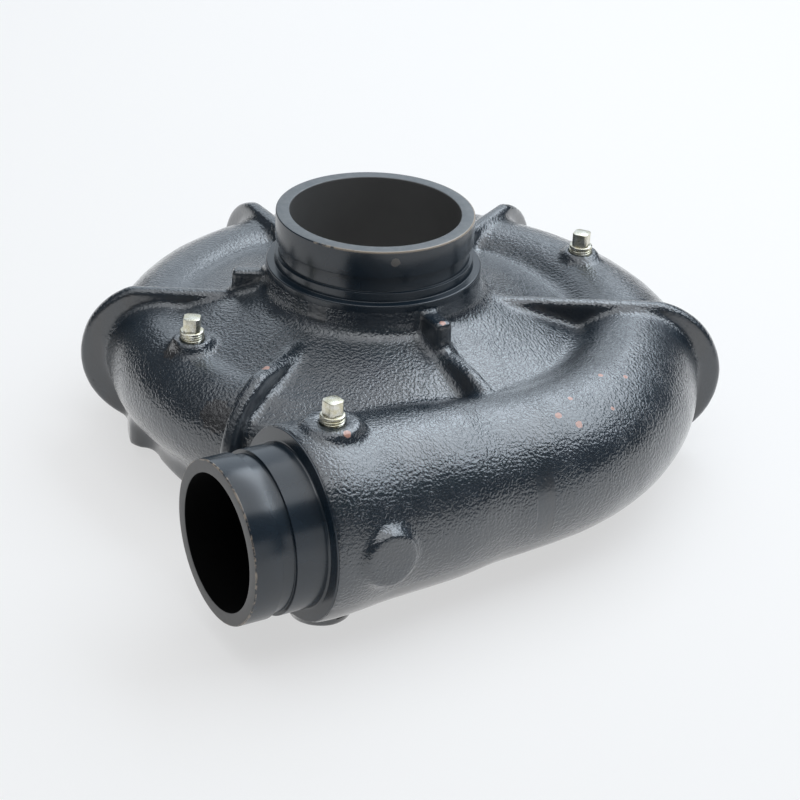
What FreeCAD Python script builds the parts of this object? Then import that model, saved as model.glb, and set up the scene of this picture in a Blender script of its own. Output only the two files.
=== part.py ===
import FreeCAD, Part
import math
import os

os.makedirs("parts", exist_ok=True)
V = FreeCAD.Vector

# ---------------------------------------------------------------------------
# Frame: Z is the suction axis and points out of the suction end.
# Z = 0 is the back mounting face.  The discharge points along -Y.
# Plan angles are counted from +X, anticlockwise seen from above.
# ---------------------------------------------------------------------------

# Suction end, grooved for a 4 in coupling
SUCTION_OD = 114.30
SUCTION_BORE = 98.30
SUCTION_FACE_Z = 140.00
SUCTION_SEAT = 15.88
SUCTION_GROOVE_W = 9.53
SUCTION_GROOVE_D = 110.08
SUCTION_LAND = 5.49
COLLAR_OD = 124.10
COLLAR_EDGE_R = 1.30
COLLAR_FOOT_Z = 91.50
COLLAR_FOOT_R = 5.00

# Discharge end, grooved for a 3 in coupling
DISCHARGE_OD = 88.90
DISCHARGE_BORE = 74.40
DISCHARGE_X = 148.10
DISCHARGE_Z = 44.30
DISCHARGE_FACE = 174.40
DISCHARGE_SEAT = 15.88
DISCHARGE_GROOVE_W = 7.95
DISCHARGE_GROOVE_D = 84.94
DISCHARGE_LAND = 18.90
SHOULDER_R = 52.80
SHOULDER_EDGE_R = 1.20

# Scroll stations: plan angle, radius of the tube's centre from the suction
# axis, radius of the tube, height of its centre
SCROLL_STATIONS = [
    (-35.0, 107.0, 30.0, 44.3),
    (-60.0, 110.3, 31.5, 44.3),
    (-90.0, 115.2, 32.4, 44.3),
    (-120.0, 120.4, 33.4, 44.3),
    (-150.0, 125.0, 34.9, 44.3),
    (-180.0, 129.0, 36.4, 44.3),
    (-210.0, 134.0, 37.6, 44.3),
    (-240.0, 139.2, 38.6, 44.3),
    (-270.0, 145.4, 39.3, 44.3),
    (-300.0, 151.0, 40.4, 44.2),
    (-330.0, 152.0, 42.0, 43.4),
    (-360.0, 148.0, 44.4, 42.2),
]
SCROLL_WALL = 8.00
TONGUE_BACK = 14.0

# Front wall, a shallow cone between the collar and the scroll
FRONT_SLOPE = 0.3235
FRONT_RIM_R = 128.0
FRONT_WALL = 10.0
WEB_R = 144.0
WEB_START = -59.0
WEB_END = -22.0

# Impeller chamber and the opening in the back
CHAMBER_R = 118.0
CHAMBER_BACK_Z = 20.0
BACK_OPENING_R = 96.0
REGISTER_R = 104.0
REGISTER_DEPTH = 6.0

# Back flange with an ear under every rib
FLANGE_R = 129.5
FLANGE_T = 12.0
EAR_R = 142.0
EAR_HALF_W = 38.0
EAR_CORNER_R = 9.0
EAR_HOLE_R = 4.25
EAR_HOLE_DEPTH = 13.0
EAR_HOLE_PCR = 118.0

# Six radial ribs, each ending in a round lug outside the scroll
RIB_ANGLES = [0.0, 60.0, 120.0, 180.0, 240.0, 300.0]
RIB_T = 9.50
RIB_EDGE_R = 3.00
RIB_BEND_R = 12.0
LUG_Z = 43.50
# plan angle, radius of the lug's centre, radius of the lug, top of the rib
LUGS = [
    (60.0, 160.5, 45.8, 88.7),
    (120.0, 153.0, 43.4, 85.6),
    (180.0, 140.6, 43.0, 85.2),
    (240.0, 124.5, 45.2, 86.0),
    (300.0, 111.0, 44.5, 86.5),
]
PIPE_RIB_ANGLE = 0.0
PIPE_RIB_TOP_Z = 88.5
PIPE_RIB_END = 128.0

# Short taller posts beside the collar on every second rib
POSTS = [(0.0, 104.0), (120.0, 97.5), (240.0, 100.5)]
POST_R = 81.5
POST_T = 10.40

# Tapped and blank bosses on the discharge pipe
TAP_R = 6.50
TAP_DEPTH = 26.0
PIPE_BOSS_Y = 108.0
PIPE_BOSS_R = 15.4
PIPE_BOSS_FLARE = 2.6
TOP_BOSS_FACE = 56.4
SIDE_BOSS_FACE = 56.8
SIDE_BOSS_Y = 101.5
UNDER_BOSS_FACE = 58.8
UNDER_BOSS_Y = 112.0
UNDER_BOSS_R = 17.0

# Tapped bosses on the crest of the scroll
TAIL_BOSS_R = 11.0
TAIL_BOSS_ANGLE = -91.3
TAIL_BOSS_AT = 114.9
TAIL_BOSS_RISE = 5.6
HEAD_BOSS_R = 10.5
HEAD_BOSS_ANGLE = 90.4
HEAD_BOSS_AT = 145.8
HEAD_BOSS_RISE = 3.0
SCROLL_BOSS_DEPTH = 12.0
SCROLL_BOSS_FLARE = 3.0

# Square-head pipe plugs
PLUG_HEAD_AF = 9.50
PLUG_HEAD_H = 7.90
PLUG_CORNER_R = 5.65
PLUG_EDGE = 0.40
PLUG_THREAD_R = 6.85
PLUG_THREAD_H = 4.80
PLUG_SHANK = 11.0

BOSS_ROOT = 36.0
SECTION_STEP = 14.0
HALF_TURN = -180.0
TAPER_STEPS = 4
TAPER_POWER = 1.5


def cone_z(r):
    """Height of the outside of the front wall at radius r."""
    return COLLAR_FOOT_Z - FRONT_SLOPE * (r - COLLAR_OD / 2.0)


def revolve(points):
    """Solid of revolution about Z from (r, z) points."""
    vectors = [V(r, 0, z) for r, z in points]
    wire = Part.makePolygon(vectors + [vectors[0]])
    return Part.Face(wire).revolve(V(0, 0, 0), V(0, 0, 1), 360)


def rod(radius, start, direction, length):
    return Part.makeCylinder(radius, length, start, direction)


def section(centre_r, radius, height, angle):
    """Circle in the vertical plane through Z at a plan angle."""
    ring = Part.makeCircle(radius, V(centre_r, 0, height), V(0, -1, 0))
    ring.rotate(V(0, 0, 0), V(0, 0, 1), angle)
    return Part.Wire([ring])


def blend(start, end, share):
    return start + (end - start) * share


def scroll_at(angle):
    """Tube centre radius, tube radius and centre height at a plan angle."""
    wanted = angle
    while wanted > SCROLL_STATIONS[0][0]:
        wanted -= 360.0
    last = len(SCROLL_STATIONS) - 1
    i = 0
    while i < last - 1 and wanted < SCROLL_STATIONS[i + 1][0]:
        i += 1
    before = SCROLL_STATIONS[max(i - 1, 0)]
    start = SCROLL_STATIONS[i]
    end = SCROLL_STATIONS[i + 1]
    after = SCROLL_STATIONS[min(i + 2, last)]
    width = end[0] - start[0]
    t = (wanted - start[0]) / width
    values = []
    for k in (1, 2, 3):
        slope_0 = (end[k] - before[k]) / (end[0] - before[0]) * width
        slope_1 = (after[k] - start[k]) / (after[0] - start[0]) * width
        value = (2 * t ** 3 - 3 * t ** 2 + 1) * start[k]
        value += (t ** 3 - 2 * t ** 2 + t) * slope_0
        value += (3 * t ** 2 - 2 * t ** 3) * end[k]
        value += (t ** 3 - t ** 2) * slope_1
        values.append(value)
    return values


def scroll_sections(start, end, offset):
    """Sections of the scroll from one plan angle to another."""
    count = max(2, round(abs(end - start) / SECTION_STEP))
    rings = []
    for i in range(count + 1):
        angle = start + (end - start) * i / count
        centre_r, radius, height = scroll_at(angle)
        rings.append(section(centre_r, radius + offset, height, angle))
    return rings


def pipe_sections(offset, end_y, end_radius):
    """Sections of the discharge pipe, which swells early and then runs out."""
    angle, start_x, start_r, start_z = SCROLL_STATIONS[-1]
    rings = []
    for i in range(1, TAPER_STEPS + 1):
        share = i / TAPER_STEPS
        swell = 1.0 - (1.0 - share) ** TAPER_POWER
        radius = blend(start_r + offset, end_radius, swell)
        x = blend(start_x, DISCHARGE_X, share)
        z = blend(start_z, DISCHARGE_Z, share)
        ring = Part.makeCircle(radius, V(x, -end_y * share, z), V(0, -1, 0))
        rings.append(Part.Wire([ring]))
    return rings


def tube(start, offset, end_y, end_radius):
    """Scroll and discharge pipe, in two lengths that meet at half turn."""
    tail = scroll_sections(start, HALF_TURN, offset)
    head = scroll_sections(HALF_TURN, SCROLL_STATIONS[-1][0], offset)
    head += pipe_sections(offset, end_y, end_radius)
    tail_solid = Part.makeLoft(tail, True, False, False, 5)
    head_solid = Part.makeLoft(head, True, False, False, 5)
    return [tail_solid, head_solid]


def plate(outline, corner, angle):
    """Rib plate from an outline in the XZ plane, edges rounded, then turned."""
    solid = Part.Face(outline).extrude(V(0, RIB_T, 0))
    solid.translate(V(0, -RIB_T / 2.0, 0))
    bend = []
    for edge in solid.Edges:
        gap = edge.BoundBox.Center - corner
        if edge.BoundBox.YLength > RIB_T / 2.0 and gap.Length < 0.01:
            bend.append(edge)
    solid = solid.makeFillet(RIB_BEND_R, bend)
    rim = []
    for edge in solid.Edges:
        flat = abs(edge.BoundBox.YLength) < 1e-6
        inside = edge.BoundBox.XMax < COLLAR_OD / 2.0
        bottom = edge.BoundBox.ZMax < DISCHARGE_Z
        if flat and not inside and not bottom:
            rim.append(edge)
    solid = solid.makeFillet(RIB_EDGE_R, rim)
    solid.rotate(V(0, 0, 0), V(0, 0, 1), angle)
    return solid


def lug_rib(angle, centre_r, radius, top):
    """Rib that runs from the collar over the scroll and round its outside."""
    inner = COLLAR_OD / 2.0 - 6.0
    low = 2.0
    rise = min(top - LUG_Z, radius - 0.5)
    crest = math.sqrt(radius ** 2 - rise ** 2)
    reach = math.sqrt(radius ** 2 - (LUG_Z - low) ** 2)
    a = V(inner, 0, low)
    b = V(inner, 0, LUG_Z + rise)
    c = V(centre_r + crest, 0, LUG_Z + rise)
    mid = V(centre_r + radius, 0, LUG_Z)
    d = V(centre_r + reach, 0, low)
    edges = [
        Part.makeLine(a, b),
        Part.makeLine(b, c),
        Part.Arc(c, mid, d).toShape(),
        Part.makeLine(d, a),
    ]
    return plate(Part.Wire(edges), c, angle)


def pipe_rib():
    """Rib that ends on top of the discharge pipe."""
    inner = COLLAR_OD / 2.0 - 6.0
    points = [
        V(inner, 0, DISCHARGE_Z),
        V(inner, 0, PIPE_RIB_TOP_Z),
        V(PIPE_RIB_END - 18.0, 0, PIPE_RIB_TOP_Z),
        V(PIPE_RIB_END, 0, PIPE_RIB_TOP_Z - 4.0),
        V(DISCHARGE_X, 0, DISCHARGE_Z + 30.0),
        V(DISCHARGE_X, 0, DISCHARGE_Z),
    ]
    wire = Part.makePolygon(points + [points[0]])
    return plate(wire, points[2], PIPE_RIB_ANGLE)


def post(angle, top):
    """Short block on the inner end of a rib."""
    inner = COLLAR_OD / 2.0 - 6.0
    box = Part.makeBox(POST_R - inner, POST_T, top - DISCHARGE_Z)
    box.translate(V(inner, -POST_T / 2.0, DISCHARGE_Z))
    rim = []
    for edge in box.Edges:
        outer = edge.BoundBox.XMin > POST_R - 0.01
        upper = edge.BoundBox.ZMin > top - 0.01
        if outer and edge.BoundBox.ZLength > 1.0:
            rim.append(edge)
        if upper and edge.BoundBox.XMax > POST_R - 0.01:
            rim.append(edge)
    box = box.makeFillet(1.6, rim)
    box.rotate(V(0, 0, 0), V(0, 0, 1), angle)
    return box


def ear(angle):
    """Pad on the back flange under a rib."""
    box = Part.makeBox(EAR_R - BACK_OPENING_R, 2 * EAR_HALF_W, FLANGE_T)
    box.translate(V(BACK_OPENING_R, -EAR_HALF_W, 0))
    round_end = rod(EAR_R, V(0, 0, 0), V(0, 0, 1), FLANGE_T)
    box = box.common(round_end)
    corners = []
    for edge in box.Edges:
        upright = edge.BoundBox.ZLength > FLANGE_T - 0.01
        if upright and edge.BoundBox.XMin > FLANGE_R:
            corners.append(edge)
    box = box.makeFillet(EAR_CORNER_R, corners)
    box.rotate(V(0, 0, 0), V(0, 0, 1), angle)
    return box


def suction_end():
    """Grooved end, collar and front wall as one turned body."""
    half = SUCTION_OD / 2.0
    groove_top = SUCTION_FACE_Z - SUCTION_SEAT
    groove_low = groove_top - SUCTION_GROOVE_W
    collar_top = groove_low - SUCTION_LAND
    collar = COLLAR_OD / 2.0
    points = [
        (0.0, 1.0),
        (FRONT_RIM_R, 1.0),
        (FRONT_RIM_R, cone_z(FRONT_RIM_R)),
        (collar + COLLAR_FOOT_R, cone_z(collar + COLLAR_FOOT_R)),
        (collar + 1.2, COLLAR_FOOT_Z + 1.4),
        (collar, COLLAR_FOOT_Z + COLLAR_FOOT_R),
        (collar, collar_top - COLLAR_EDGE_R),
        (collar - COLLAR_EDGE_R, collar_top),
        (half, collar_top),
        (half, groove_low),
        (SUCTION_GROOVE_D / 2.0, groove_low),
        (SUCTION_GROOVE_D / 2.0, groove_top),
        (half, groove_top),
        (half, SUCTION_FACE_Z - 0.8),
        (half - 0.8, SUCTION_FACE_Z),
        (0.0, SUCTION_FACE_Z),
    ]
    return revolve(points)


def discharge_end():
    """Grooved end of the discharge, from inside the pipe to the face."""
    half = DISCHARGE_OD / 2.0
    seat = DISCHARGE_FACE - DISCHARGE_SEAT
    shoulder = seat - DISCHARGE_GROOVE_W - DISCHARGE_LAND
    start = V(DISCHARGE_X, -shoulder + 6.0, DISCHARGE_Z)
    barrel = rod(half, start, V(0, -1, 0), DISCHARGE_FACE - shoulder + 6.0)
    tip = [e for e in barrel.Edges if e.BoundBox.YMax < -DISCHARGE_FACE + 0.01]
    barrel = barrel.makeChamfer(0.8, tip)
    inner = rod(DISCHARGE_GROOVE_D / 2.0, V(DISCHARGE_X, -seat, DISCHARGE_Z),
                V(0, 1, 0), DISCHARGE_GROOVE_W)
    outer = rod(half + 2.0, V(DISCHARGE_X, -seat, DISCHARGE_Z),
                V(0, 1, 0), DISCHARGE_GROOVE_W)
    return barrel.cut(outer.cut(inner))


def tongue_web():
    """Web that fills the crotch between the tail of the scroll and the pipe."""
    top = cone_z(WEB_R)
    points = [
        (100.0, 22.0),
        (100.0, cone_z(100.0)),
        (WEB_R - 4.0, cone_z(WEB_R - 4.0)),
        (WEB_R, top - 4.0),
        (WEB_R, 34.0),
        (WEB_R - 10.0, 22.0),
    ]
    vectors = [V(r, 0, z) for r, z in points]
    face = Part.Face(Part.makePolygon(vectors + [vectors[0]]))
    web = face.revolve(V(0, 0, 0), V(0, 0, 1), WEB_END - WEB_START)
    web.rotate(V(0, 0, 0), V(0, 0, 1), WEB_START)
    return web


def pipe_boss(direction, centre, face, radius):
    """Round boss standing on the discharge pipe, with draft."""
    depth = face - BOSS_ROOT
    start = centre + direction * BOSS_ROOT
    slope = PIPE_BOSS_FLARE / (face - SCROLL_STATIONS[-1][2])
    foot = radius + slope * depth
    boss = Part.makeCone(foot, radius, depth, start, direction)
    face_at = centre + direction * face
    rim = []
    for edge in boss.Edges:
        if edge.Closed and (edge.BoundBox.Center - face_at).Length < 0.1:
            rim.append(edge)
    return boss.makeFillet(2.0, rim)


def boss_top(angle, r, rise):
    """Point at the top face of a small boss on the crest of the scroll."""
    centre_r, radius, height = scroll_at(angle)
    z = height + math.sqrt(radius ** 2 - (r - centre_r) ** 2)
    turn = math.radians(angle)
    return V(r * math.cos(turn), r * math.sin(turn), z + rise)


def scroll_boss(top, radius):
    """Round boss standing on the crest of the scroll, with draft."""
    start = top - V(0, 0, SCROLL_BOSS_DEPTH)
    foot = radius + SCROLL_BOSS_FLARE
    return Part.makeCone(foot, radius, SCROLL_BOSS_DEPTH, start)


def tapped(top):
    return rod(TAP_R, top + V(0, 0, 1), V(0, 0, -1), TAP_DEPTH + 1.0)


def make_plug(seat, turn, sink):
    """Square-head pipe plug screwed into a tapped boss to a given depth."""
    shank = rod(TAP_R, seat, V(0, 0, -1), PLUG_SHANK)
    stand = PLUG_THREAD_H - sink
    thread = rod(PLUG_THREAD_R, seat, V(0, 0, 1), stand)
    half = PLUG_HEAD_AF / 2.0
    head = Part.makeBox(PLUG_HEAD_AF, PLUG_HEAD_AF, PLUG_HEAD_H)
    head.translate(V(-half, -half, 0))
    top_r = PLUG_CORNER_R - PLUG_EDGE
    corners = rod(PLUG_CORNER_R, V(0, 0, 0), V(0, 0, 1), PLUG_HEAD_H)
    chamfer = Part.makeCone(top_r + PLUG_HEAD_H, top_r, PLUG_HEAD_H)
    head = head.common(corners).common(chamfer)
    head.rotate(V(0, 0, 0), V(0, 0, 1), turn)
    head.translate(seat + V(0, 0, stand))
    return shank.fuse([thread, head]).removeSplitter()


def chamber():
    """Impeller chamber, suction bore and the stepped opening in the back."""
    bore = SUCTION_BORE / 2.0
    top = cone_z(bore) - FRONT_WALL
    rim = cone_z(CHAMBER_R) - FRONT_WALL
    points = [
        (0.0, -1.0),
        (REGISTER_R, -1.0),
        (REGISTER_R, REGISTER_DEPTH),
        (BACK_OPENING_R, REGISTER_DEPTH),
        (BACK_OPENING_R, CHAMBER_BACK_Z),
        (CHAMBER_R, CHAMBER_BACK_Z),
        (CHAMBER_R, rim),
        (bore, top),
        (bore, SUCTION_FACE_Z + 1.0),
        (0.0, SUCTION_FACE_Z + 1.0),
    ]
    return revolve(points)


def make_casing(seats):
    shoulder = DISCHARGE_FACE - DISCHARGE_SEAT - DISCHARGE_GROOVE_W - DISCHARGE_LAND
    tail, outside = tube(SCROLL_STATIONS[0][0], 0.0, shoulder, SHOULDER_R)
    rim = []
    for edge in outside.Edges:
        if edge.BoundBox.YMax < -shoulder + 0.5:
            rim.append(edge)
    outside = outside.makeFillet(SHOULDER_EDGE_R, rim)
    solids = [tail, suction_end(), discharge_end()]
    solids.append(rod(FLANGE_R, V(0, 0, 0), V(0, 0, 1), FLANGE_T))
    solids.append(tongue_web())
    solids.append(pipe_rib())
    for lug in LUGS:
        solids.append(lug_rib(*lug))
    for angle in RIB_ANGLES:
        solids.append(ear(angle))
    for angle, top in POSTS:
        solids.append(post(angle, top))
    centre = V(DISCHARGE_X, -PIPE_BOSS_Y, DISCHARGE_Z)
    side = V(DISCHARGE_X, -SIDE_BOSS_Y, DISCHARGE_Z)
    under = V(DISCHARGE_X, -UNDER_BOSS_Y, DISCHARGE_Z)
    solids.append(pipe_boss(V(0, 0, 1), centre, TOP_BOSS_FACE, PIPE_BOSS_R))
    solids.append(pipe_boss(V(1, 0, 0), side, SIDE_BOSS_FACE, PIPE_BOSS_R))
    solids.append(pipe_boss(V(0, 0, -1), under, UNDER_BOSS_FACE, UNDER_BOSS_R))
    solids.append(scroll_boss(seats[1], TAIL_BOSS_R))
    solids.append(scroll_boss(seats[2], HEAD_BOSS_R))
    body = outside.fuse(solids)

    tongue = SCROLL_STATIONS[0][0] - TONGUE_BACK
    waterway = tube(tongue, -SCROLL_WALL, shoulder, DISCHARGE_BORE / 2.0)
    mouth = rod(DISCHARGE_BORE / 2.0, V(DISCHARGE_X, -shoulder, DISCHARGE_Z),
                V(0, -1, 0), DISCHARGE_FACE - shoulder + 1.0)
    cuts = [chamber(), mouth] + waterway
    for seat in seats:
        cuts.append(tapped(seat))
    for angle in RIB_ANGLES:
        turn = math.radians(angle)
        at = V(EAR_HOLE_PCR * math.cos(turn), EAR_HOLE_PCR * math.sin(turn), -1.0)
        cuts.append(rod(EAR_HOLE_R, at, V(0, 0, 1), EAR_HOLE_DEPTH + 1.0))
    return body.cut(cuts).removeSplitter()


pipe_seat = V(DISCHARGE_X, -PIPE_BOSS_Y, DISCHARGE_Z + TOP_BOSS_FACE)
tail_seat = boss_top(TAIL_BOSS_ANGLE, TAIL_BOSS_AT, TAIL_BOSS_RISE)
head_seat = boss_top(HEAD_BOSS_ANGLE, HEAD_BOSS_AT, HEAD_BOSS_RISE)

casing = make_casing([pipe_seat, tail_seat, head_seat])
casing.exportStep("parts/casing.step")
make_plug(pipe_seat, 9.0, 0.8).exportStep("parts/plug_discharge.step")
make_plug(tail_seat, 57.5, 0.0).exportStep("parts/plug_tail.step")
make_plug(head_seat, 38.0, 0.7).exportStep("parts/plug_head.step")
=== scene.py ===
import math
import bmesh
import bpy
import numpy as np
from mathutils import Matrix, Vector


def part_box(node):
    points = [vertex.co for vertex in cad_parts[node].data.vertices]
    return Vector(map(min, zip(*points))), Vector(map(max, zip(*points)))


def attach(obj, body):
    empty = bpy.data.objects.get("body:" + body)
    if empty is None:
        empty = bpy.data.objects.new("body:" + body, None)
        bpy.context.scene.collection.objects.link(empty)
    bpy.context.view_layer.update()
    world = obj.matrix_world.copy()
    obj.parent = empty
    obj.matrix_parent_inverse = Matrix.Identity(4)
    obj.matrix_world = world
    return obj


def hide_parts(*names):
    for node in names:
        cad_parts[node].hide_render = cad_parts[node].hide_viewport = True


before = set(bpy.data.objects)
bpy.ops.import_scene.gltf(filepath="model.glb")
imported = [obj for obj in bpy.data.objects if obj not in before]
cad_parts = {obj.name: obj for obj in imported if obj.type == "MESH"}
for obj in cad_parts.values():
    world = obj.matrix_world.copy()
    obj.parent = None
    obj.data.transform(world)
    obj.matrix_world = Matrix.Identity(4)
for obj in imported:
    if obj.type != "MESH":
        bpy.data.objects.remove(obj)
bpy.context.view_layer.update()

import openvdb as vdb
from mathutils import Matrix, Vector, noise

MM = 0.001

# ---------------------------------------------------------------- sizes, mm
VOXEL = 1.2
BAND = 14.0
VALLEY_R = 10.0
FOOT_R = 3.0
CAST_TRIANGLES = 190000
# depth in mm, waves per metre
WAVES = ((0.22, 55.0), (0.10, 160.0))

RIB_ANGLES = (0, 60, 120, 180, 240, 300)
RIB_CLEAR = (9.0, 22.0)
COLLAR_R = 62.05
COLLAR_CUT_Z = 104.9
COLLAR_VALLEY = 24.0
COLLAR_SHARE = 0.45
EYE_CUT_R = 51.4
PIPE_X, PIPE_Z = 148.1, 44.3
DISCHARGE_BORE_R = 37.2
SHOULDER_Y = 131.67
SHOULDER_FACE_R = 52.3
SHOULDER_RIM = 1.0
BOSS_CLEAR = (3.0, 12.0)
BOSS_REACH = 30.0
PLUG_BOSS_R = 13.0
# middle of the foot, axis, radius of the foot
PIPE_BOSSES = (
    ((148.1, -108.0, 92.0), (0, 0, 1), 18.0),
    ((195.0, -101.5, 44.3), (1, 0, 0), 18.0),
    ((148.1, -112.0, -6.0), (0, 0, -1), 20.0),
)
# (r, z): outer face of the back, its step, and the floor behind the chamber
BACK_CUT = ((0, -10), (200, -10), (200, 0), (104, 0), (104, 6), (96, 6),
            (96, 20.5), (0, 20.5))
BACK_HOLE_CUT_R = 4.35
BACK_HOLE_DEPTH = 13.0
BACK_HOLE_PCR = 118.0
TAP_R = 6.5
TAP_DEPTH = 26.0
TAP_PAST = 4.0

# plugs: how far the head is turned, and how much thread stands out
PLUGS = {
    "plug_discharge": (9.0, 4.0),
    "plug_tail": (57.5, 4.8),
    "plug_head": (38.0, 4.1),
}
PLUG_AF = 9.5
PLUG_CORNER_R = 5.65
PLUG_HEAD_H = 7.9
PLUG_SHANK = 11.0
PLUG_BEVEL = 0.32
THREAD_R = 6.85
THREAD_CORE_R = 6.05
THREAD_PITCH = 1.41


# ------------------------------------------------------------ mesh helpers
def new_object(name, verts, faces, smooth=True):
    mesh = bpy.data.meshes.new(name)
    mesh.from_pydata([tuple(v) for v in verts], [], faces)
    mesh.validate()
    obj = bpy.data.objects.new(name, mesh)
    bpy.context.scene.collection.objects.link(obj)
    if smooth:
        mesh.polygons.foreach_set("use_smooth", [True] * len(mesh.polygons))
    return obj


def mesh_from_arrays(name, points, quads, tris):
    mesh = bpy.data.meshes.new(name)
    loops = np.concatenate([quads.ravel(), tris.ravel()]).astype(np.int32)
    starts = np.concatenate([
        np.arange(len(quads)) * 4,
        len(quads) * 4 + np.arange(len(tris)) * 3]).astype(np.int32)
    mesh.vertices.add(len(points))
    mesh.vertices.foreach_set("co", points.astype(np.float32).ravel())
    mesh.loops.add(len(loops))
    mesh.loops.foreach_set("vertex_index", loops)
    mesh.polygons.add(len(starts))
    mesh.polygons.foreach_set("loop_start", starts)
    mesh.polygons.foreach_set("use_smooth", np.ones(len(starts), bool))
    mesh.update(calc_edges=True)
    obj = bpy.data.objects.new(name, mesh)
    bpy.context.scene.collection.objects.link(obj)
    return obj


def apply_modifier(obj, kind, **settings):
    mod = obj.modifiers.new("m", kind)
    for key, value in settings.items():
        setattr(mod, key, value)
    bpy.context.view_layer.objects.active = obj
    bpy.ops.object.modifier_apply(modifier=mod.name)


def outward(obj):
    bm = bmesh.new()
    bm.from_mesh(obj.data)
    bmesh.ops.remove_doubles(bm, verts=bm.verts, dist=1e-7)
    bmesh.ops.dissolve_degenerate(bm, edges=bm.edges, dist=1e-8)
    bmesh.ops.recalc_face_normals(bm, faces=bm.faces)
    bm.to_mesh(obj.data)
    bm.free()


def lathe(name, profile, steps=192, matrix=None):
    """Closed profile of (r, z) in mm turned about Z, in metres."""
    verts, faces = [], []
    count = len(profile)
    for i in range(steps):
        a = 2 * math.pi * i / steps
        for r, z in profile:
            verts.append((r * math.cos(a) * MM, r * math.sin(a) * MM, z * MM))
    for i in range(steps):
        j = (i + 1) % steps
        for k in range(count):
            m = (k + 1) % count
            faces.append((i * count + k, j * count + k,
                          j * count + m, i * count + m))
    obj = new_object(name, verts, faces)
    if matrix is not None:
        obj.data.transform(matrix)
    outward(obj)
    return obj


def rounded(points, steps=4):
    """Closed (r, z, corner radius) profile with its corners turned to arcs."""
    out = []
    count = len(points)
    for i in range(count):
        p0 = Vector(points[i - 1][:2])
        p1 = Vector(points[i][:2])
        p2 = Vector(points[(i + 1) % count][:2])
        radius = points[i][2]
        d0, d2 = (p0 - p1), (p2 - p1)
        turn = d0.angle(d2)
        if radius <= 0 or turn > math.pi - 0.01:
            out.append(tuple(p1))
            continue
        cut = radius / math.tan(turn / 2)
        cut = min(cut, d0.length * 0.45, d2.length * 0.45)
        a = p1 + d0.normalized() * cut
        b = p1 + d2.normalized() * cut
        for s in range(steps + 1):
            t = s / steps
            q = a * (1 - t) ** 2 + p1 * (2 * t * (1 - t)) + b * t ** 2
            out.append(tuple(q))
    return out


def sharpen(obj, degrees):
    obj.data.set_sharp_from_angle(angle=math.radians(degrees))


# ---------------------------------------------------- casting as a level set
def level_set(shell, outside, inside):
    points, tris, quads = shell
    kinds = {}
    if len(quads):
        kinds["quads"] = np.ascontiguousarray(quads, np.uint32)
    if len(tris):
        kinds["triangles"] = np.ascontiguousarray(tris, np.uint32)
    return vdb.FloatGrid.createLevelSetFromPolygons(
        np.ascontiguousarray(points, np.float32),
        transform=vdb.createLinearTransform(voxelSize=VOXEL),
        exBandWidth=float(max(outside / VOXEL, 3) + 2),
        inBandWidth=float(max(inside / VOXEL, 3) + 2), **kinds)


def offset(shell, distance):
    grid = level_set(shell, max(distance, 0), max(-distance, 0))
    return grid.convertToPolygons(isovalue=distance)


def closed(shell, radius):
    """Shell whose hollows are filled to a given fillet radius."""
    return offset(offset(shell, radius), -radius)


def dense(shell, low, shape):
    grid = level_set(shell, BAND, BAND)
    values = np.zeros(shape, np.float32)
    grid.copyToArray(values, ijk=low)
    return values


def smooth_step(x, a, b):
    t = np.clip((x - a) / (b - a), 0, 1)
    return t * t * (3 - 2 * t)


def blur(values):
    for axis in range(3):
        values = (np.roll(values, 1, axis) + 2 * values
                  + np.roll(values, -1, axis)) / 4
    return values


def plug_seats():
    """Middle of each plugged boss's face, in mm."""
    seats = []
    for name, (_, stand) in PLUGS.items():
        low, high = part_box(name)
        top = high[2] / MM - PLUG_HEAD_H - stand
        seats.append(((low[0] + high[0]) / 2 / MM,
                      (low[1] + high[1]) / 2 / MM, top))
    return seats


def valley_share(x, y, z):
    """1 where the casting has its wide fillets, 0 where its corners are tight."""
    share = np.ones(np.broadcast(x, y, z).shape, np.float32)
    for angle in RIB_ANGLES:
        c, s = math.cos(math.radians(angle)), math.sin(math.radians(angle))
        along = x * c + y * s
        across = np.abs(y * c - x * s)
        share = share * (1 - (1 - smooth_step(across, *RIB_CLEAR)) * (along > 0))
    feet = list(PIPE_BOSSES)
    feet += [((px, py, pz - 3.0), (0, 0, 1), PLUG_BOSS_R)
             for px, py, pz in plug_seats()[1:]]
    for (px, py, pz), axis, radius in feet:
        dx, dy, dz = x - px, y - py, z - pz
        on = dx * axis[0] + dy * axis[1] + dz * axis[2]
        off = np.sqrt(np.maximum(dx * dx + dy * dy + dz * dz - on * on, 0))
        near = 1 - smooth_step(off, radius + BOSS_CLEAR[0], radius + BOSS_CLEAR[1])
        share = share * (1 - near * (np.abs(on) < BOSS_REACH))
    collar = smooth_step(np.hypot(x, y), COLLAR_R, COLLAR_R + COLLAR_VALLEY)
    return share * (COLLAR_SHARE + (1 - COLLAR_SHARE) * collar)


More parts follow.
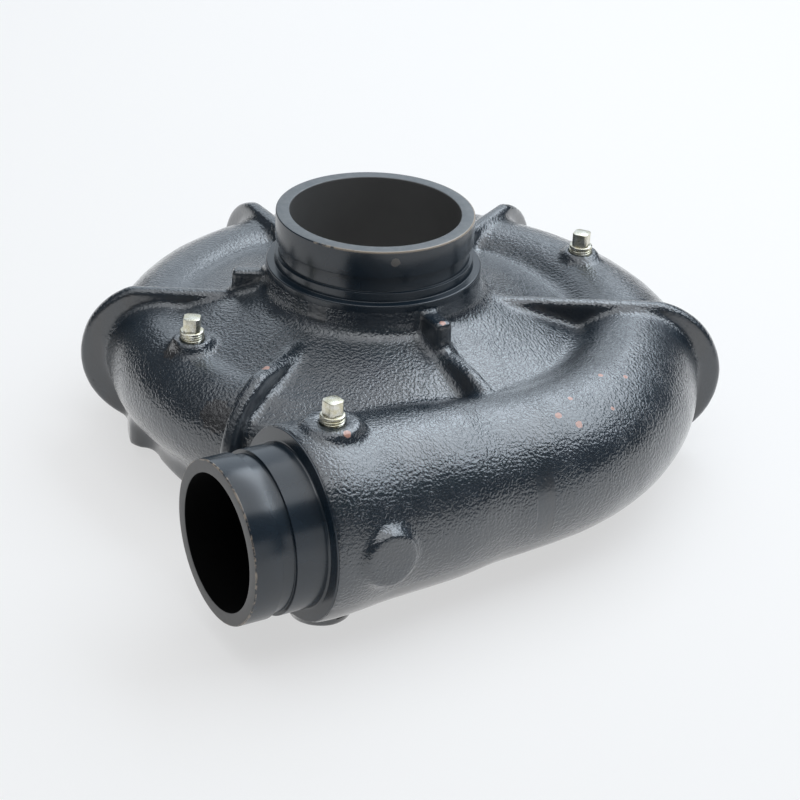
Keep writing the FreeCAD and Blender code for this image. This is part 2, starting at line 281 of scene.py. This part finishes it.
def cast_body(node):
    mesh = node.data
    mesh.calc_loop_triangles()
    points = np.empty(len(mesh.vertices) * 3, np.float32)
    mesh.vertices.foreach_get("co", points)
    points = points.reshape(-1, 3) / MM
    tris = np.empty(len(mesh.loop_triangles) * 3, np.int32)
    mesh.loop_triangles.foreach_get("vertices", tris)
    shell = (points, tris.reshape(-1, 3), np.empty((0, 4), np.int32))

    low = tuple(int(v) for v in np.floor(points.min(0) / VOXEL) - 12)
    high = np.ceil(points.max(0) / VOXEL) + 12
    shape = tuple(int(v) for v in high - low)
    tight = dense(closed(shell, FOOT_R), low, shape)
    wide = dense(closed(shell, VALLEY_R), low, shape)
    x = ((np.arange(shape[0]) + low[0]) * VOXEL).astype(np.float32)[:, None, None]
    y = ((np.arange(shape[1]) + low[1]) * VOXEL).astype(np.float32)[None, :, None]
    z = ((np.arange(shape[2]) + low[2]) * VOXEL).astype(np.float32)[None, None, :]
    field = blur(tight + (wide - tight) * valley_share(x, y, z))

    grid = vdb.FloatGrid(BAND)
    grid.transform = vdb.createLinearTransform(voxelSize=VOXEL)
    grid.copyFromArray(np.ascontiguousarray(field, np.float32), ijk=low)
    points, tris, quads = grid.convertToPolygons(isovalue=0.0)
    obj = mesh_from_arrays("cast_body", points * MM, quads, tris)
    outward(obj)
    return obj


def uneven(obj):
    """Slight waves that sand leaves on a casting."""
    mesh = obj.data
    count = len(mesh.vertices)
    co = np.empty(count * 3, np.float32)
    mesh.vertices.foreach_get("co", co)
    co = co.reshape(-1, 3)
    normals = np.array([v.normal for v in mesh.vertices], np.float32)
    move = np.zeros(count, np.float32)
    for depth, scale in WAVES:
        for i in range(count):
            move[i] += depth * MM * noise.noise(Vector(co[i] * scale))
    co += normals * move[:, None]
    mesh.vertices.foreach_set("co", co.ravel())
    mesh.update()


# ---------------------------------------------------------------- machining
def pipe_matrix():
    turn = Matrix.Rotation(math.radians(90), 4, "X")
    return Matrix.Translation((PIPE_X * MM, 0, PIPE_Z * MM)) @ turn


def drill(name, radius, x, y, low, high):
    profile = [(0, low), (radius, low), (radius, high), (0, high)]
    return lathe(name, profile, 48, Matrix.Translation((x * MM, y * MM, 0)))


def machine(obj):
    step = SHOULDER_Y - SHOULDER_RIM
    cuts = [
        lathe("cut_collar", [(0, COLLAR_CUT_Z), (80, COLLAR_CUT_Z), (80, 160),
                             (0, 160)]),
        lathe("cut_eye", [(0, 84), (EYE_CUT_R, 84), (EYE_CUT_R, 120), (0, 120)]),
        lathe("cut_pipe", [(0, step), (60, step), (60, 185), (0, 185)], 192,
              pipe_matrix()),
        lathe("cut_back", BACK_CUT),
    ]
    for x, y, top in plug_seats():
        cuts.append(drill("cut_tap", TAP_R, x, y, top - TAP_DEPTH, top + TAP_PAST))
    for angle in RIB_ANGLES:
        x = BACK_HOLE_PCR * math.cos(math.radians(angle))
        y = BACK_HOLE_PCR * math.sin(math.radians(angle))
        cuts.append(drill("cut_hole", BACK_HOLE_CUT_R, x, y, -2.0, BACK_HOLE_DEPTH))
    for cut in cuts:
        apply_modifier(obj, "BOOLEAN", operation="DIFFERENCE",
                       solver="MANIFOLD", object=cut)
        bpy.data.objects.remove(cut)


def make_casting(node):
    obj = cast_body(node)
    share = CAST_TRIANGLES / (2 * len(obj.data.polygons))
    apply_modifier(obj, "DECIMATE", ratio=share)
    uneven(obj)
    machine(obj)
    return obj


def make_suction_end():
    profile = rounded([
        (49.15, 85.7, 0.4), (49.15, 140.0, 0.8), (57.15, 140.0, 0.9),
        (57.15, 124.12, 0.3), (55.04, 124.12, 0.3), (55.04, 114.59, 0.3),
        (57.15, 114.59, 0.3), (57.15, 109.10, 0.5), (62.05, 109.10, 1.0),
        (62.05, 104.7, 0), (51.6, 104.7, 0), (51.6, 85.7, 0)])
    return lathe("suction_end", profile, 256)


def make_discharge_end():
    profile = rounded([
        (DISCHARGE_BORE_R, 128.0, 0), (DISCHARGE_BORE_R, 174.4, 0.6), (44.45, 174.4, 0.8),
        (44.45, 158.52, 0.3), (42.47, 158.52, 0.3), (42.47, 150.57, 0.3),
        (44.45, 150.57, 0.3), (44.45, SHOULDER_Y, 1.4),
        (SHOULDER_FACE_R, SHOULDER_Y, 0.5), (SHOULDER_FACE_R, 130.0, 0),
        (39.0, 130.0, 0), (39.0, 128.0, 0)])
    return lathe("discharge_end", profile, 256, pipe_matrix())


# -------------------------------------------------------------------- plugs
def thread(seat, stand):
    """Shank, thread and the rounded shoulder under the head of a plug."""
    steps, rows = 96, 44
    verts, faces = [], []
    levels = [-PLUG_SHANK, -1.0]
    levels += [-0.9 + (stand + 0.9) * i / (rows - 1) for i in range(rows)]
    for z in levels:
        for i in range(steps):
            turn = i / steps
            wave = abs(((z / THREAD_PITCH - turn) % 1.0) * 2 - 1)
            r = THREAD_CORE_R + (THREAD_R - THREAD_CORE_R) * min(1.0, wave * 1.25)
            shoulder = smooth_step(z, stand - 1.5, stand - 0.9)
            r += (THREAD_R - r) * float(shoulder)
            if z > stand - 0.45:
                r -= 3.2 * (z - stand + 0.45) ** 2
            if z < 0:
                r = min(r, TAP_R - 0.05)
            a = 2 * math.pi * turn
            verts.append(((seat[0] + r * math.cos(a)) * MM,
                          (seat[1] + r * math.sin(a)) * MM, (seat[2] + z) * MM))
    for k in range(len(levels) - 1):
        for i in range(steps):
            j = (i + 1) % steps
            faces.append((k * steps + i, k * steps + j,
                          (k + 1) * steps + j, (k + 1) * steps + i))
    faces.append(tuple(range(steps - 1, -1, -1)))
    last = (len(levels) - 1) * steps
    faces.append(tuple(last + i for i in range(steps)))
    return verts, faces


def head(seat, stand, turn):
    """Square head with its corners cut, as points round the top and foot."""
    half = PLUG_AF / 2
    flat = math.sqrt(PLUG_CORNER_R ** 2 - half ** 2)
    ring = []
    for k in range(4):
        a = math.radians(turn + 90 * k)
        for side in (-1, 1):
            x = half * math.cos(a) - side * flat * math.sin(a)
            y = half * math.sin(a) + side * flat * math.cos(a)
            ring.append((x, y))
    verts, faces = [], []
    for z in (stand - 0.4, stand + PLUG_HEAD_H):
        for x, y in ring:
            verts.append(((seat[0] + x) * MM, (seat[1] + y) * MM,
                          (seat[2] + z) * MM))
    for i in range(8):
        j = (i + 1) % 8
        faces.append((i, j, 8 + j, 8 + i))
    faces.append(tuple(range(7, -1, -1)))
    faces.append(tuple(range(8, 16)))
    return verts, faces


def make_plug(name, seat, turn, stand):
    lower = new_object(name + "_lower", *thread(seat, stand))
    outward(lower)
    upper = new_object(name + "_dressed", *head(seat, stand, turn))
    outward(upper)
    apply_modifier(upper, "BEVEL", width=PLUG_BEVEL * MM, segments=3, limit_method="ANGLE",
                   angle_limit=math.radians(20))
    apply_modifier(upper, "BOOLEAN", operation="UNION", solver="EXACT", object=lower)
    bpy.data.objects.remove(lower)
    upper.data.polygons.foreach_set("use_smooth", [True] * len(upper.data.polygons))
    sharpen(upper, 32)
    return upper


# ------------------------------------------------------------------ camera
CAMERA_ANGLES = (58.721, 27.664, -2.697)    # azimuth, elevation, roll
CAMERA_PLACE = (1.19274, -0.70239, 0.74421)
CAMERA_LENS = 118.6


def camera():
    cam = bpy.data.cameras.new("camera")
    obj = bpy.data.objects.new("camera", cam)
    bpy.context.scene.collection.objects.link(obj)
    az, el, roll = (math.radians(v) for v in CAMERA_ANGLES)
    back = Vector((math.sin(az) * math.cos(el), -math.cos(az) * math.cos(el),
                   math.sin(el)))
    right = Vector((math.cos(az), math.sin(az), 0))
    up = back.cross(right)
    c, s = math.cos(roll), math.sin(roll)
    axes = (right * c - up * s, right * s + up * c, back)
    world = Matrix.Identity(4)
    for col, axis in enumerate(axes):
        for row in range(3):
            world[row][col] = axis[row]
    world.translation = CAMERA_PLACE
    obj.matrix_world = world
    cam.lens = CAMERA_LENS
    cam.sensor_width = 36.0
    cam.clip_start, cam.clip_end = 0.01, 50.0
    bpy.context.scene.camera = obj


# --------------------------------------------------------------- materials
class Nodes:
    """Short hand for building a material's node tree."""

    def __init__(self, name):
        self.mat = bpy.data.materials.new(name)
        self.mat.use_nodes = True
        self.tree = self.mat.node_tree
        self.tree.nodes.clear()
        self.out = self.add("OutputMaterial")
        self.bsdf = self.add("BsdfPrincipled")
        self.tree.links.new(self.bsdf.outputs[0], self.out.inputs[0])
        self.where = self.add("TexCoord").outputs["Object"]
        self.xyz = self.split(self.where)

    def add(self, kind):
        return self.tree.nodes.new("ShaderNode" + kind)

    def put(self, socket, value):
        if isinstance(value, bpy.types.NodeSocket):
            self.tree.links.new(value, socket)
        elif isinstance(value, (tuple, list)) and len(value) == 3 \
                and len(socket.default_value) == 4:
            socket.default_value = (*value, 1.0)
        else:
            socket.default_value = value

    def split(self, vector):
        node = self.add("SeparateXYZ")
        self.put(node.inputs[0], vector)
        return node.outputs

    def stretch(self, factors):
        """Place with each axis scaled, so a texture runs along one of them."""
        node = self.add("VectorMath")
        node.operation = "MULTIPLY"
        self.put(node.inputs[0], self.where)
        node.inputs[1].default_value = factors
        return node.outputs[0]

    def noise(self, scale, detail=3.0, rough=0.5, where=None):
        node = self.add("TexNoise")
        self.put(node.inputs["Vector"], where or self.where)
        node.inputs["Scale"].default_value = scale
        node.inputs["Detail"].default_value = detail
        node.inputs["Roughness"].default_value = rough
        return node.outputs[0]

    def cells(self, scale, feature="F1"):
        node = self.add("TexVoronoi")
        node.feature = feature
        self.put(node.inputs["Vector"], self.where)
        node.inputs["Scale"].default_value = scale
        return node.outputs[0]

    def math(self, kind, a, b=0.0, c=0.0):
        node = self.add("Math")
        node.operation = kind
        for socket, value in zip(node.inputs, (a, b, c)):
            self.put(socket, value)
        return node.outputs[0]

    def both(self, *values):
        total = values[0]
        for value in values[1:]:
            total = self.math("MULTIPLY", total, value)
        return total

    def most(self, *values):
        total = values[0]
        for value in values[1:]:
            total = self.math("MAXIMUM", total, value)
        return total

    def ramp(self, value, low, high, a=0.0, b=1.0):
        node = self.add("MapRange")
        node.interpolation_type = "SMOOTHSTEP"
        for key, v in enumerate((value, low, high, a, b)):
            self.put(node.inputs[key], v)
        return node.outputs[0]

    def mix(self, share, a, b):
        node = self.add("Mix")
        node.data_type = "RGBA"
        self.put(node.inputs[0], share)
        self.put(node.inputs[6], a)
        self.put(node.inputs[7], b)
        return node.outputs[2]

    def spot(self, centre, radius, ragged, rag_size=0.6):
        """Ragged patch round a place given in mm."""
        node = self.add("VectorMath")
        node.operation = "DISTANCE"
        self.put(node.inputs[0], self.where)
        node.inputs[1].default_value = [v * MM for v in centre]
        reach = self.math("MULTIPLY_ADD", ragged, -rag_size * 2 * radius * MM,
                          radius * (1 + rag_size) * MM)
        gap = self.math("SUBTRACT", reach, node.outputs["Value"])
        return self.ramp(gap, 0.0, 0.12 * radius * MM)

    def bump(self, height, distance, normal=None):
        node = self.add("Bump")
        self.put(node.inputs["Height"], height)
        node.inputs["Distance"].default_value = distance * MM
        if normal is not None:
            self.put(node.inputs["Normal"], normal)
        return node.outputs[0]

    def set(self, **values):
        for key, value in values.items():
            self.put(self.bsdf.inputs[key.replace("_", " ")], value)
        return self.mat


# base colours
PAINT = (0.0095, 0.0185, 0.0290)
PAINT_PALE = (0.0145, 0.0265, 0.0400)
BROWN = (0.034, 0.029, 0.027)
BARE = (0.15, 0.135, 0.12)
PRIMER = (0.62, 0.30, 0.22)
TAN = (0.42, 0.34, 0.26)
# painted shade: near-black colour inside the casting's pits
PIT_SHADE = (0.002, 0.002, 0.002)
FACE, FACE_PALE = (0.085, 0.098, 0.108), (0.130, 0.140, 0.145)
BORE, BORE_PALE = (0.075, 0.074, 0.072), (0.105, 0.103, 0.100)
END, END_PALE = (0.05, 0.05, 0.05), (0.085, 0.08, 0.076)
# painted shade: near-black colour for the inside of the outlet bore
BORE_SHADE, BORE_SHADE_PALE = (0.0015, 0.0015, 0.0015), (0.004, 0.004, 0.004)
ZINC, ZINC_YELLOW = (0.80, 0.79, 0.72), (0.66, 0.62, 0.46)

# middle and radius of each mark, in mm
PRIMER_CHIPS = (
    ((79.2, -0.6, 104.0), 1.9), ((162.7, -107.2, 100.0), 2.3),
    ((165.8, 21.6, 82.2), 2.2), ((172.2, 30.7, 77.7), 2.2),
    ((141.0, 65.2, 85.2), 1.6), ((144.8, 79.5, 83.2), 1.3),
    ((156.1, 35.4, 84.8), 1.5), ((165.6, 57.2, 78.2), 1.2),
    ((55.4, -98.6, 86.5), 2.4), ((-121.0, 3.0, 85.5), 2.6),
)
NOZZLE_PATCH = ((54.2, -17.9, 133.6), 2.8)
BROWN_STAINS = (((-3.5, -128.0, 78.0), 7.0), ((52.6, -127.4, 61.9), 10.0))


# texture scales of the cast paint, in features per metre
GRAIN, PEBBLE, FINE = 620.0, 650.0, 1600.0
PATCHES, PITS = 45.0, 115.0
GRAIN_DEPTH = 0.19


def coarse_paint():
    """Glossy dark paint over the skin of a sand casting."""
    n = Nodes("cast_paint")
    x, y, z = n.xyz
    ragged = n.noise(300.0, 4.0, 0.6)
    broad = n.noise(22.0, 3.0, 0.6)
    line = n.math("MULTIPLY_ADD", broad, 10 * MM, 14 * MM)
    low = n.ramp(n.math("SUBTRACT", line, z), -1.2 * MM, 1.2 * MM)
    normal = n.split(n.add("NewGeometry").outputs["Normal"])
    steep = n.ramp(n.math("ABSOLUTE", normal[2]), 0.55, 0.3)
    rib = None
    for angle in (0, 60, 120):
        c, s = math.cos(math.radians(angle)), math.sin(math.radians(angle))
        across = n.math("ABSOLUTE", n.math(
            "SUBTRACT", n.math("MULTIPLY", y, c), n.math("MULTIPLY", x, s)))
        near = n.ramp(across, 6.2 * MM, 5.2 * MM)
        rib = near if rib is None else n.most(rib, near)
    flank = n.both(steep, rib)
    smooth = n.most(low, n.math("MULTIPLY", flank, 0.75))

    grain = n.ramp(n.noise(GRAIN, 1.5, 0.5), 0.32, 0.68)
    pebble = n.math("SUBTRACT", 1.0, n.cells(PEBBLE, "SMOOTH_F1"))
    grain = n.math("MULTIPLY_ADD", pebble, 0.5, grain)
    fine = n.noise(FINE, 2.0, 0.6)
    grain = n.math("MULTIPLY_ADD", fine, 0.3, grain)
    patchy = n.ramp(n.noise(PATCHES, 2.0, 0.5), 0.3, 0.7, 0.65, 1.1)
    grain = n.both(grain, patchy, n.math("MULTIPLY_ADD", smooth, -0.9, 1.0))
    streak = n.noise(420.0, 3.0, 0.6, n.stretch((1.0, 1.0, 0.06)))
    streak = n.both(streak, smooth)
    height = n.math("MULTIPLY_ADD", streak, 0.4, grain)
    pits = n.ramp(n.cells(PITS), 0.045, 0.02)
    height = n.math("MULTIPLY_ADD", pits, -1.6, height)
    bumped = n.bump(height, GRAIN_DEPTH)

    color = n.mix(n.ramp(broad, 0.35, 0.7), PAINT, PAINT_PALE)
    runs = n.noise(90.0, 4.0, 0.6, n.stretch((1, 1, 0.2)))
    worn = n.both(smooth, n.ramp(runs, 0.35, 0.75))
    color = n.mix(n.math("MULTIPLY", worn, 0.8), color, BROWN)
    for centre, radius in BROWN_STAINS:
        stain = n.math("MULTIPLY", n.spot(centre, radius, ragged), 0.7)
        color = n.mix(stain, color, BROWN)
    chips = n.most(*[n.spot(centre, radius, ragged)
                     for centre, radius in PRIMER_CHIPS])
    color = n.mix(n.math("MULTIPLY", chips, 0.85), color, PRIMER)
    # painted shade: the pits are darkened towards near black
    color = n.mix(n.math("MULTIPLY", pits, 0.9), color, PIT_SHADE)
    rough = n.math("MULTIPLY_ADD", smooth, 0.10, 0.24)
    rough = n.math("MULTIPLY_ADD", chips, 0.3, rough)
    return n.set(Base_Color=color, Roughness=rough, Normal=bumped,
                 Specular_IOR_Level=1.0, Coat_Weight=1.0, Coat_Roughness=0.13,
                 Coat_Normal=bumped)


def smooth_paint(name, along):
    """Thin paint over a turned surface, with faint rings along its axis."""
    n = Nodes(name)
    broad = n.noise(30.0, 3.0, 0.6)
    rings = n.noise(700.0, 2.0, 0.5, n.stretch(along))
    dust = n.noise(900.0, 3.0, 0.6)
    height = n.math("MULTIPLY_ADD", rings, 0.5, dust)
    color = n.mix(n.ramp(broad, 0.35, 0.7), PAINT, PAINT_PALE)
    return n, broad, color, n.bump(height, 0.012)


def zinc():
    n = Nodes("plug_zinc")
    broad = n.noise(260.0, 3.0, 0.6)
    fine = n.noise(1800.0, 3.0, 0.6)
    color = n.mix(n.ramp(broad, 0.3, 0.7), ZINC, ZINC_YELLOW)
    rough = n.ramp(fine, 0.3, 0.7, 0.22, 0.36)
    return n.set(Base_Color=color, Metallic=1.0, Roughness=rough,
                 Normal=n.bump(fine, 0.02))


def suction_paint():
    n, broad, color, bumped = smooth_paint("suction_paint", (0.03, 0.03, 1.0))
    x, y, z = n.xyz
    r = n.math("SQRT", n.math("MULTIPLY_ADD", x, x, n.math("MULTIPLY", y, y)))
    ragged = n.noise(260.0, 4.0, 0.65)
    side = n.math("MULTIPLY_ADD", y, 0.6, x)
    side = n.ramp(side, -40 * MM, 60 * MM, 0.15, 0.75)
    rim = n.both(n.ramp(r, 56.1 * MM, 56.7 * MM),
                 n.ramp(z, 138.6 * MM, 139.3 * MM))
    worn = n.both(rim, n.ramp(n.math("ADD", ragged, side), 0.8, 1.0))
    top = n.ramp(z, 139.85 * MM, 139.95 * MM)
    face = n.mix(n.ramp(ragged, 0.3, 0.75), FACE, FACE_PALE)
    inside = n.ramp(r, 49.6 * MM, 49.3 * MM)
    color = n.mix(top, color, face)
    color = n.mix(n.math("MULTIPLY", worn, 0.8), color, TAN)
    patch = n.spot(*NOZZLE_PATCH, ragged, 0.5)
    color = n.mix(n.math("MULTIPLY", patch, 0.8), color, BARE)
    color = n.mix(inside, color, n.mix(broad, BORE, BORE_PALE))
    rough = n.math("MULTIPLY_ADD", inside, 0.35, 0.22)
    rough = n.math("MULTIPLY_ADD", top, 0.16, rough)
    return n.set(Base_Color=color, Roughness=rough, Normal=bumped,
                 Specular_IOR_Level=0.8)


def discharge_paint():
    n, _, color, bumped = smooth_paint("discharge_paint", (0.03, 1.0, 0.03))
    x, y, z = n.xyz
    dx = n.math("SUBTRACT", x, PIPE_X * MM)
    dz = n.math("SUBTRACT", z, PIPE_Z * MM)
    r = n.math("SQRT", n.math("MULTIPLY_ADD", dx, dx, n.math("MULTIPLY", dz, dz)))
    ragged = n.noise(260.0, 4.0, 0.65)
    out = n.math("MULTIPLY", y, -1.0)
    rim = n.both(n.ramp(r, 43.4 * MM, 44.0 * MM),
                 n.ramp(out, 173.2 * MM, 173.8 * MM))
    worn = n.both(rim, n.ramp(ragged, 0.42, 0.6))
    end = n.ramp(out, 174.2 * MM, 174.3 * MM)
    color = n.mix(end, color, n.mix(ragged, END, END_PALE))
    color = n.mix(n.math("MULTIPLY", worn, 0.75), color, TAN)
    rough = n.math("MULTIPLY_ADD", end, 0.2, 0.22)
    return n.set(Base_Color=color, Roughness=rough, Normal=bumped,
                 Specular_IOR_Level=0.8)


def bore_painted_shade():
    """Dull near-black colour painted inside the waterway's outlet bore as its shade."""
    n = Nodes("bore_painted_shade")
    color = n.mix(n.noise(60.0, 3.0, 0.6), BORE_SHADE, BORE_SHADE_PALE)
    height = n.noise(700.0, 3.0, 0.6)
    return n.set(Base_Color=color, Roughness=0.85, Normal=n.bump(height, 0.05),
                 Specular_IOR_Level=0.1)


def floor_paint():
    """Pale floor that stays white far from the object and keeps its shadow."""
    n = Nodes("floor")
    n.set(Base_Color=(0.86, 0.86, 0.86), Roughness=0.7)
    path = n.add("LightPath")
    seen = n.most(path.outputs["Is Camera Ray"], path.outputs["Is Glossy Ray"],
                  path.outputs["Is Transmission Ray"])
    glow = n.add("Emission")
    blend = n.add("MixShader")
    n.put(blend.inputs[0], n.math("MULTIPLY", seen, 0.6))
    n.tree.links.new(n.bsdf.outputs[0], blend.inputs[1])
    n.tree.links.new(glow.outputs[0], blend.inputs[2])
    n.tree.links.new(blend.outputs[0], n.out.inputs[0])
    return n.mat


# ---------------------------------------------------- floor and lamps
# z = ax + by + c of the plane that the casting rests on, in metres
FLOOR_SLOPE = (-0.0423, 0.0244, -0.0060)
FLOOR_HALF = 6.0
LAMPS_FACE = Vector((0.03, -0.02, 0.05))
COOL, SOFT = (0.82, 0.91, 1.0), (0.94, 0.97, 1.0)
# name, azimuth, elevation, distance, size, level, colour
LAMPS = (
    ("key", 95, 50, 1.5, (2.0, 0.9), 3.0, COOL),
    ("rear", 155, 30, 1.7, (1.3, 1.3), 0.9, COOL),
    ("top", 0, 88, 1.5, (1.9, 1.9), 1.15, SOFT),
    ("strip", 345, 66, 1.5, (0.7, 0.5), 1.1, SOFT),
    ("front", 275, 42, 1.6, (1.3, 0.9), 0.5, SOFT),
    ("fill", 8, 8, 1.6, (0.7, 0.6), 0.6, SOFT),
)


def floor():
    ax, by, c = FLOOR_SLOPE
    verts = []
    for sx, sy in ((-1, -1), (1, -1), (1, 1), (-1, 1)):
        x, y = sx * FLOOR_HALF, sy * FLOOR_HALF
        verts.append((x, y, ax * x + by * y + c))
    obj = new_object("floor", verts, [(0, 1, 2, 3)], False)
    obj.data.materials.append(floor_paint())


def area_light(name, azimuth, elevation, distance, size, level, color):
    """Soft box of a given brightness, facing the object."""
    az, el = math.radians(azimuth), math.radians(elevation)
    toward = Vector((math.cos(az) * math.cos(el), math.sin(az) * math.cos(el),
                     math.sin(el)))
    data = bpy.data.lights.new(name, "AREA")
    data.shape = "RECTANGLE"
    data.size, data.size_y = size
    data.energy = level * math.pi * size[0] * size[1]
    data.color = color
    obj = bpy.data.objects.new(name, data)
    bpy.context.scene.collection.objects.link(obj)
    obj.location = LAMPS_FACE + toward * distance
    obj.rotation_mode = "QUATERNION"
    obj.rotation_quaternion = toward.to_track_quat("Z", "Y")


def studio():
    world = bpy.data.worlds.new("studio")
    bpy.context.scene.world = world
    world.use_nodes = True
    back = world.node_tree.nodes["Background"]
    back.inputs["Color"].default_value = (0.90, 0.95, 1.0, 1)
    back.inputs["Strength"].default_value = 0.10
    for lamp in LAMPS:
        area_light(*lamp)


# ------------------------------------------------------------- the scene
body = make_casting(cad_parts["casing"])
body.data.polygons.foreach_set("use_smooth", [True] * len(body.data.polygons))
sharpen(body, 40)
body.data.materials.clear()
body.data.materials.append(coarse_paint())

suction = make_suction_end()
suction.data.materials.append(suction_paint())
discharge = make_discharge_end()
discharge.data.materials.append(discharge_paint())
# the outlet bore's faces take the painted shade material
discharge.data.materials.append(bore_painted_shade())
for face in discharge.data.polygons:
    off = (face.center.x / MM - PIPE_X, face.center.z / MM - PIPE_Z)
    if math.hypot(*off) < DISCHARGE_BORE_R + 0.1:
        face.material_index = 1
for piece in (suction, discharge):
    sharpen(piece, 35)
for piece in (body, suction, discharge):
    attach(piece, "root")
    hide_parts("casing")

metal = zinc()
for (name, (turn, stand)), seat in zip(PLUGS.items(), plug_seats()):
    plug = make_plug(name, seat, turn, stand)
    plug.data.materials.clear()
    plug.data.materials.append(metal)
    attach(plug, "root")
    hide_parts(name)

camera()
floor()
studio()
bpy.context.scene.view_settings.view_transform = "Standard"
